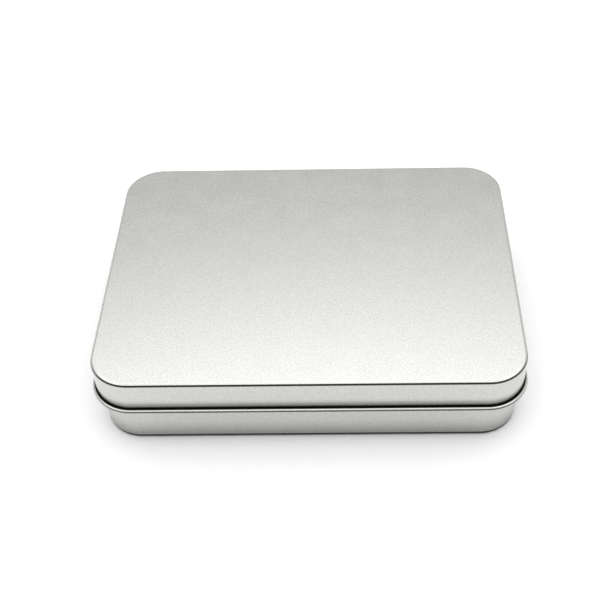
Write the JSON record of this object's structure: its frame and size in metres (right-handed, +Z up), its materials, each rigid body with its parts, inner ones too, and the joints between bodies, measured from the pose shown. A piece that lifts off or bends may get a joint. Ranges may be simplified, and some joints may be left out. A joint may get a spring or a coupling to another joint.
{
  "type": "card game tin",
  "caption": "Flat rectangular tinplate box with round corners and a hinged lid, for two card decks side by side; lid skirt ends in a rolled bead.",
  "frame": {"origin": "on the surface that the tin stands on, under the middle of the closed tin", "axes": "+X to the right, +Y from the front towards the hinge, +Z up"},
  "size_m": [0.1402, 0.1088, 0.028],
  "materials": {
    "tinplate": "satin, stone-finish tinplate, unprinted",
    "strap_tinplate": "satin tinplate strip",
    "wire_steel": "drawn, bright"
  },
  "bodies": {
    "tray": {"tray": "tinplate", "hinge_strap_left": "strap_tinplate", "hinge_strap_right": "strap_tinplate"},
    "lid": {"lid": "tinplate", "hinge_wire": "wire_steel"}
  },
  "joints": [
    {"name": "lid_hinge", "type": "hinge", "parent": "tray", "child": "lid", "pos_m": [0, 0.05371, 0.01615], "axis": [-1, 0, 0], "range_deg": [0, 180]}
  ]
}
